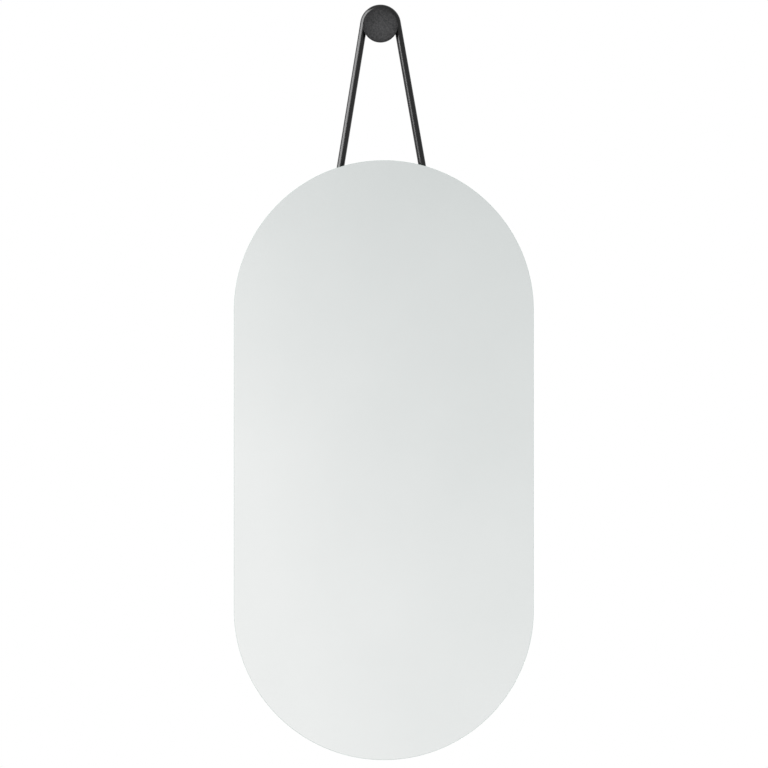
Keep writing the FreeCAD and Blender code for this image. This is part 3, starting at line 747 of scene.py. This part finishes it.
def make_board():
    """Fibreboard with eased edges and the routed channels for the cord ends."""
    sections = [
        (BOARD_EDGE, BOARD_FRONT),
        (0.0, BOARD_FRONT - BOARD_EDGE),
        (0.0, BOARD_BACK + BOARD_CHAMFER + HOLD),
        (HOLD / 2, BOARD_BACK + BOARD_CHAMFER - HOLD / 2),
        (BOARD_CHAMFER - HOLD / 2, BOARD_BACK + HOLD / 2),
        (BOARD_CHAMFER + HOLD, BOARD_BACK),
    ]
    sections = [(BOARD_INSET + inset, depth) for inset, depth in sections]
    board = slab("fibreboard_back", pill_outline, sections)
    outline = [
        (-CHANNEL_HALF_WIDTH, CHANNEL_MOUTH),
        (-CHANNEL_HALF_WIDTH, POCKET_TOP),
        (-POCKET_HALF_WIDTH, POCKET_TOP),
        (-POCKET_HALF_WIDTH, POCKET_END),
        (POCKET_HALF_WIDTH, POCKET_END),
        (POCKET_HALF_WIDTH, POCKET_TOP),
        (CHANNEL_HALF_WIDTH, POCKET_TOP),
        (CHANNEL_HALF_WIDTH, CHANNEL_MOUTH),
    ]
    tools = []
    for side in SIDES:
        tool = prism(f"recess_{side}", outline, 0, POCKET_FLOOR)
        apply_place(tool, on_leg(side))
        tools.append(tool)
    subtract(board, *tools)
    settle(board, "mirror_panel", "board", [fibreboard()], "backing_board")


def make_cover_screw():
    """A low-headed wood screw with a hexagonal socket, on the axis x = z = 0."""
    rim = SCREW_HEAD_RADIUS - SCREW_HEAD_EDGE
    profile = [(rim - HOLD, SCREW_BACK)]
    profile += arc(rim, SCREW_BACK + SCREW_HEAD_EDGE, SCREW_HEAD_EDGE, 270, 360, 6)
    profile += [
        (SCREW_HEAD_RADIUS, COVER_BACK),
        (SCREW_RADIUS, COVER_BACK),
        (SCREW_RADIUS, SCREW_END - SCREW_TIP),
        (SCREW_POINT_RADIUS, SCREW_END),
    ]
    screw = turned("screw", profile, steps=48)
    hexagon = arc(0, 0, SCREW_SOCKET / math.sqrt(3), 0, 300, 5)
    subtract(screw, prism("socket", hexagon, SCREW_BACK - OVERCUT, SCREW_BACK + SCREW_SOCKET_DEPTH))
    return screw


def make_covers():
    """The plates over the anchor pockets and their screws."""
    steel = zinc_steel()
    screw_steel = zinc_steel("zinc_plated_screw", (0.200, 0.208, 0.220), (0.290, 0.295, 0.300))
    sections = [
        (0.0, BOARD_BACK),
        (0.0, COVER_BACK + COVER_EDGE),
        (COVER_EASE, COVER_BACK + COVER_EASE),
        (COVER_EDGE, COVER_BACK),
    ]
    for side in SIDES:
        place = on_leg(side)
        cover = slab(f"anchor_plate_cover_{side}", plate_outline, sections)
        apply_place(cover, place)
        settle(cover, "mirror_panel", "zinc_steel", [steel], f"anchor_cover_{side}")
        screws = []
        for x in (-COVER_SCREW_X, COVER_SCREW_X):
            for z in COVER_SCREW_HEIGHTS:
                screw = make_cover_screw()
                apply_place(screw, place @ Matrix.Translation((x * MM, 0, z * MM)))
                screws.append(screw)
        group = merge(f"cover_screw_set_{side}", screws)
        settle(group, "mirror_panel", "zinc_steel", [screw_steel], f"cover_screws_{side}")


def make_bumpers():
    """Soft round feet on the board's back."""
    rubber = bumper_rubber()
    profile = [(BUMPER_RADIUS - HOLD, BOARD_BACK), (BUMPER_RADIUS, BOARD_BACK - HOLD)]
    profile += arc(BUMPER_RADIUS - BUMPER_EDGE, BUMPER_EDGE, BUMPER_EDGE, 0, -90, 8)
    for level in LEVELS:
        for side in SIDES:
            node = f"wall_bumper_{level}_{side}"
            foot = turned(f"bumper_foot_{level}_{side}", profile, steps=64)
            apply_place(foot, Matrix.Translation((middle(node, 0) * MM, 0, middle(node, 2) * MM)))
            settle(foot, "mirror_panel", "bumper_rubber", [rubber], node)


# Wall knob

def make_disc(coat):
    """The turned disc with a blind bore and a tapped hole from below."""
    rim = CAP_RADIUS - CAP_EDGE
    shoulder = CAP_FRONT - CAP_EDGE
    back_rim = CAP_RADIUS - CAP_BACK_EDGE
    back_shoulder = CAP_BACK + CAP_BACK_EDGE
    profile = [(rim - HOLD, CAP_FRONT)]
    profile += arc(rim, shoulder, CAP_EDGE, 90, 0, 10)
    profile += [(CAP_RADIUS, shoulder - HOLD), (CAP_RADIUS, back_shoulder + HOLD)]
    profile += arc(back_rim, back_shoulder, CAP_BACK_EDGE, 0, -90, 4)
    profile += [
        (back_rim - HOLD, CAP_BACK),
        (CAP_BORE_RADIUS, CAP_BACK),
        (CAP_BORE_RADIUS, CAP_BORE_END),
    ]
    disc = turned("knob_disc", profile, steps=192)
    reach = [(GRUB_HOLE_RADIUS, BOSS_RADIUS - OVERCUT), (GRUB_HOLE_RADIUS, CAP_RADIUS + OVERCUT)]
    hole = turned("grub_hole", reach, steps=32)
    from_below = Matrix.Translation((0, -GRUB_DEPTH * MM, 0)) @ Matrix.Rotation(math.pi / 2, 4, "X")
    apply_place(hole, from_below)
    subtract(disc, hole)
    settle(disc, "wall_knob", "knob_paint", [coat], "knob_cap")
    return disc


def make_spool(coat):
    """The base behind the disc: a flange on the wall, the groove for the cord and a boss."""
    rim = FLANGE_RADIUS - FLANGE_EDGE
    shoulder = FLANGE_FRONT - FLANGE_EDGE
    root = GROOVE_RADIUS + GROOVE_CORNER
    profile = [
        (KNOB_HOLE_RADIUS, RELIEF_DEPTH),
        (RELIEF_RADIUS, RELIEF_DEPTH),
        (RELIEF_RADIUS, 0),
        (FLANGE_RADIUS - EASE, 0),
        (FLANGE_RADIUS, EASE),
        (FLANGE_RADIUS, shoulder - HOLD),
    ]
    profile += arc(rim, shoulder, FLANGE_EDGE, 0, 90, 6)
    profile += [(rim - HOLD, FLANGE_FRONT), (root + HOLD, FLANGE_FRONT)]
    profile += arc(root, FLANGE_FRONT + GROOVE_CORNER, GROOVE_CORNER, 270, 180, 8)
    profile += [
        (GROOVE_RADIUS, FLANGE_FRONT + GROOVE_CORNER + HOLD),
        (GROOVE_RADIUS, CAP_BACK - EASE),
        (GROOVE_RADIUS - EASE, CAP_BACK),
        (BOSS_RADIUS, CAP_BACK),
        (BOSS_RADIUS, BOSS_FRONT - EASE),
        (BOSS_RADIUS - EASE, BOSS_FRONT),
        (COUNTERSINK_RADIUS, BOSS_FRONT),
        (KNOB_HOLE_RADIUS, BOSS_FRONT - (COUNTERSINK_RADIUS - KNOB_HOLE_RADIUS)),
    ]
    spool = turned("knob_spool", profile, steps=128, closed=True)
    settle(spool, "wall_knob", "knob_paint", [coat], "knob_base")
    return spool


def make_plug():
    """Split plug with grip rings, in the wall behind the knob."""
    profile = [(PLUG_BORE_RADIUS, 0), (PLUG_RADIUS - HOLD, 0), (PLUG_RADIUS, -HOLD)]
    for ring in range(1, PLUG_RINGS + 1):
        start = -ring * PLUG_RING_PITCH
        profile += [
            (PLUG_RADIUS, start),
            (PLUG_RADIUS - PLUG_RING_DEPTH, start - PLUG_RING_WIDTH / 2),
            (PLUG_RADIUS, start - PLUG_RING_WIDTH),
        ]
    profile += [
        (PLUG_RADIUS, PLUG_END + PLUG_TIP),
        (PLUG_RADIUS - PLUG_TIP, PLUG_END),
        (PLUG_BORE_RADIUS, PLUG_END),
    ]
    plug = turned("split_plug", profile, steps=64, closed=True)
    half = PLUG_SLOT_WIDTH / 2
    reach = PLUG_RADIUS + OVERCUT
    slot = [(-half, -reach), (half, -reach), (half, reach), (-half, reach)]
    subtract(plug, prism("slot", slot, PLUG_END - OVERCUT, PLUG_END + PLUG_SLOT_LENGTH))
    settle(plug, "wall_knob", "nylon", [grey_nylon()], "wall_plug")


# Remaining CAD nodes keep their shapes

def dress_nodes():
    """Materials for the nodes that stay as they are, which are small or hidden."""
    steel = zinc_steel()
    foam = dark_foam()
    finishes = {"cap_set_screw": black_steel(), "wall_screw": steel}
    for side in SIDES:
        finishes[f"cord_ferrule_{side}"] = steel
        finishes[f"anchor_plate_{side}"] = steel
    for name in frame["nodes"]:
        if name.startswith("tape_strip"):
            finishes[name] = foam
    for name, material in finishes.items():
        for material_slot in frame["nodes"][name].material_slots:
            material_slot.material = material


# Stage and light

def new_emission(name):
    """A glowing material; returns it with its node tree and its shader."""
    material = bpy.data.materials.new(name)
    material.use_nodes = True
    tree = material.node_tree
    tree.nodes.clear()
    output = tree.nodes.new("ShaderNodeOutputMaterial")
    emission = tree.nodes.new("ShaderNodeEmission")
    tree.links.new(emission.outputs["Emission"], output.inputs["Surface"])
    return material, tree, emission


def seen_directly(tree):
    """1 for rays from the camera and for what gloss and glass show, 0 for the rays that light surfaces."""
    rays = tree.nodes.new("ShaderNodeLightPath")
    seen = combine(tree, "MAXIMUM", rays.outputs["Is Camera Ray"], rays.outputs["Is Glossy Ray"])
    return combine(tree, "MAXIMUM", seen, rays.outputs["Is Transmission Ray"])


def mix_into(tree, factor, first, second):
    """Two shaders mixed, into the material's output."""
    mix = tree.nodes.new("ShaderNodeMixShader")
    tree.links.new(factor, mix.inputs["Fac"])
    tree.links.new(first, mix.inputs[1])
    tree.links.new(second, mix.inputs[2])
    tree.links.new(mix.outputs["Shader"], tree.nodes["Material Output"].inputs["Surface"])


def make_floor():
    """A pale floor below the mirror, which fades into the white background."""
    mesh = bmesh.new()
    bmesh.ops.create_grid(mesh, x_segments=1, y_segments=1, size=FLOOR_SIZE / 2)
    floor = finish_mesh("floor", mesh)
    floor.location = (0, 0, FLOOR_Z)
    material, tree, shader = new_surface("pale_floor", Roughness=0.9, Specular_IOR_Level=0.2)
    colour = tones(tree, noise(tree, 3, detail=2), (0.3, (0.84, 0.84, 0.835)), (0.7, (0.87, 0.87, 0.865)))
    tree.links.new(colour, shader.inputs["Base Color"])
    white = tree.nodes.new("ShaderNodeEmission")
    far = spread(tree, vector_value(tree, "LENGTH", object_point(tree)), 0, 1, *FLOOR_FADE)
    fade = combine(tree, "MULTIPLY", far, seen_directly(tree))
    mix_into(tree, fade, shader.outputs["BSDF"], white.outputs["Emission"])
    floor.data.materials.append(material)
    floor.visible_glossy = False
    floor.visible_transmission = False


def make_reflected_room():
    """What the mirror and the gloss see: a round pale room, whose light falls off to the upper right."""
    mesh = bmesh.new()
    bmesh.ops.create_uvsphere(mesh, u_segments=96, v_segments=48, radius=ROOM_RADIUS)
    room = finish_mesh("reflected_room", mesh)
    room.location = (CAMERA_X, 0, CAMERA_Z)
    material, tree, ahead = new_emission("reflected_room")
    point = object_point(tree, (1, 0, 1))
    square = tree.nodes.new("ShaderNodeVectorMath")
    square.operation = "MULTIPLY"
    tree.links.new(point, square.inputs[0])
    tree.links.new(point, square.inputs[1])
    slope = vector_value(tree, "DOT_PRODUCT", point, ROOM_SLOPE)
    bow = vector_value(tree, "DOT_PRODUCT", square.outputs["Vector"], ROOM_BOW)
    value = combine(tree, "ADD", slope, bow)
    value = combine(tree, "ADD", value, spread(tree, noise(tree, 5, detail=3), -0.008, 0.010))
    tone = spread(tree, value, 0, 1, -0.15, 0.16)
    colour = tones(tree, tone, (0.0, (0.679, 0.694, 0.694)), (0.484, (0.805, 0.811, 0.811)),
                   (0.81, (0.914, 0.909, 0.909)), (1.0, (0.936, 0.928, 0.928)))
    tree.links.new(colour, ahead.inputs["Color"])
    around = tree.nodes.new("ShaderNodeEmission")
    swell = bands(tree, "DIAGONAL", 0.3, (1, 0, 1), (0.5, 0, 0))
    colour = tones(tree, swell, (0.0, (0.68, 0.695, 0.695)), (1.0, (0.92, 0.92, 0.92)))
    tree.links.new(colour, around.inputs["Color"])
    aside = spread(tree, vector_value(tree, "LENGTH", point), 0, 1, *ROOM_FADE)
    mix_into(tree, aside, ahead.outputs["Emission"], around.outputs["Emission"])
    room.data.materials.append(material)
    room.visible_camera = False
    room.visible_diffuse = False
    room.visible_shadow = False


def make_softbox(name, location, target, along, size, power):
    """A rectangular lamp that faces a target, with its second side along a direction."""
    data = bpy.data.lights.new(name, "AREA")
    data.shape = "RECTANGLE"
    data.size, data.size_y = size
    data.energy = power
    lamp = bpy.data.objects.new(name, data)
    forward = (Vector(target) - Vector(location)).normalized()
    up = Vector(along) - Vector(along).dot(forward) * forward
    up.normalize()
    right = forward.cross(up)
    axes = Matrix((right, up, -forward)).transposed().to_4x4()
    lamp.matrix_world = Matrix.Translation(location) @ axes
    lamp.visible_camera = False
    bpy.context.scene.collection.objects.link(lamp)
    return lamp


def make_lights(dark_pieces):
    """Soft light from the left and from behind, and two large panels that only the black pieces show."""
    knob = (0, -CORD_DEPTH * MM, 0)
    panel = (0, 0, PANEL_Z * MM)
    # directions of the lamps' second sides, 14 and 30 degrees off the vertical
    upright = (0.24, 0, 0.97)
    slanted = (0.5, 0, 0.866)
    key = make_softbox("key_light", location=(-1.86, -1.27, 0.85), target=knob, along=slanted,
                       size=(1.9, 1.9), power=49)
    back = make_softbox("back_light", location=(0.90, 2.00, 0.40), target=panel, along=upright,
                        size=(1.6, 1.6), power=40)
    for lamp in (key, back):
        lamp.visible_glossy = False
    upper = make_softbox("upper_panel", location=(-1.55, -1.06, 0.71), target=knob, along=slanted,
                         size=(2.65, 1.9), power=152)
    lower = make_softbox("lower_panel", location=(-1.37, -1.41, -0.34), target=knob, along=upright,
                         size=(2.6, 0.56), power=6.4)
    receivers = bpy.data.collections.new("dark_pieces")
    for piece in dark_pieces:
        receivers.objects.link(piece)
    for lamp in (upper, lower):
        lamp.visible_diffuse = False
        lamp.light_linking.receiver_collection = receivers


def make_world():
    """White to the camera, in reflections and through glass; a plain soft light on the surfaces."""
    world = bpy.data.worlds.new("studio")
    bpy.context.scene.world = world
    world.use_nodes = True
    tree = world.node_tree
    tree.nodes.clear()
    output = tree.nodes.new("ShaderNodeOutputWorld")
    soft = tree.nodes.new("ShaderNodeBackground")
    soft.inputs["Color"].default_value = (1, 1, 1, 1)
    soft.inputs["Strength"].default_value = WORLD_LIGHT
    white = tree.nodes.new("ShaderNodeBackground")
    white.inputs["Color"].default_value = (1, 1, 1, 1)
    white.inputs["Strength"].default_value = 1.0
    mix = tree.nodes.new("ShaderNodeMixShader")
    tree.links.new(seen_directly(tree), mix.inputs["Fac"])
    tree.links.new(soft.outputs["Background"], mix.inputs[1])
    tree.links.new(white.outputs["Background"], mix.inputs[2])
    tree.links.new(mix.outputs["Shader"], output.inputs["Surface"])


make_camera()
cord = make_cord()
make_glass()
make_layers()
make_board()
make_covers()
make_bumpers()
knob_coat = powder_coat()
disc = make_disc(knob_coat)
spool = make_spool(knob_coat)
make_plug()
dress_nodes()
make_floor()
make_reflected_room()
make_lights([cord, disc, spool])
make_world()
bpy.context.scene.view_settings.view_transform = "Standard"
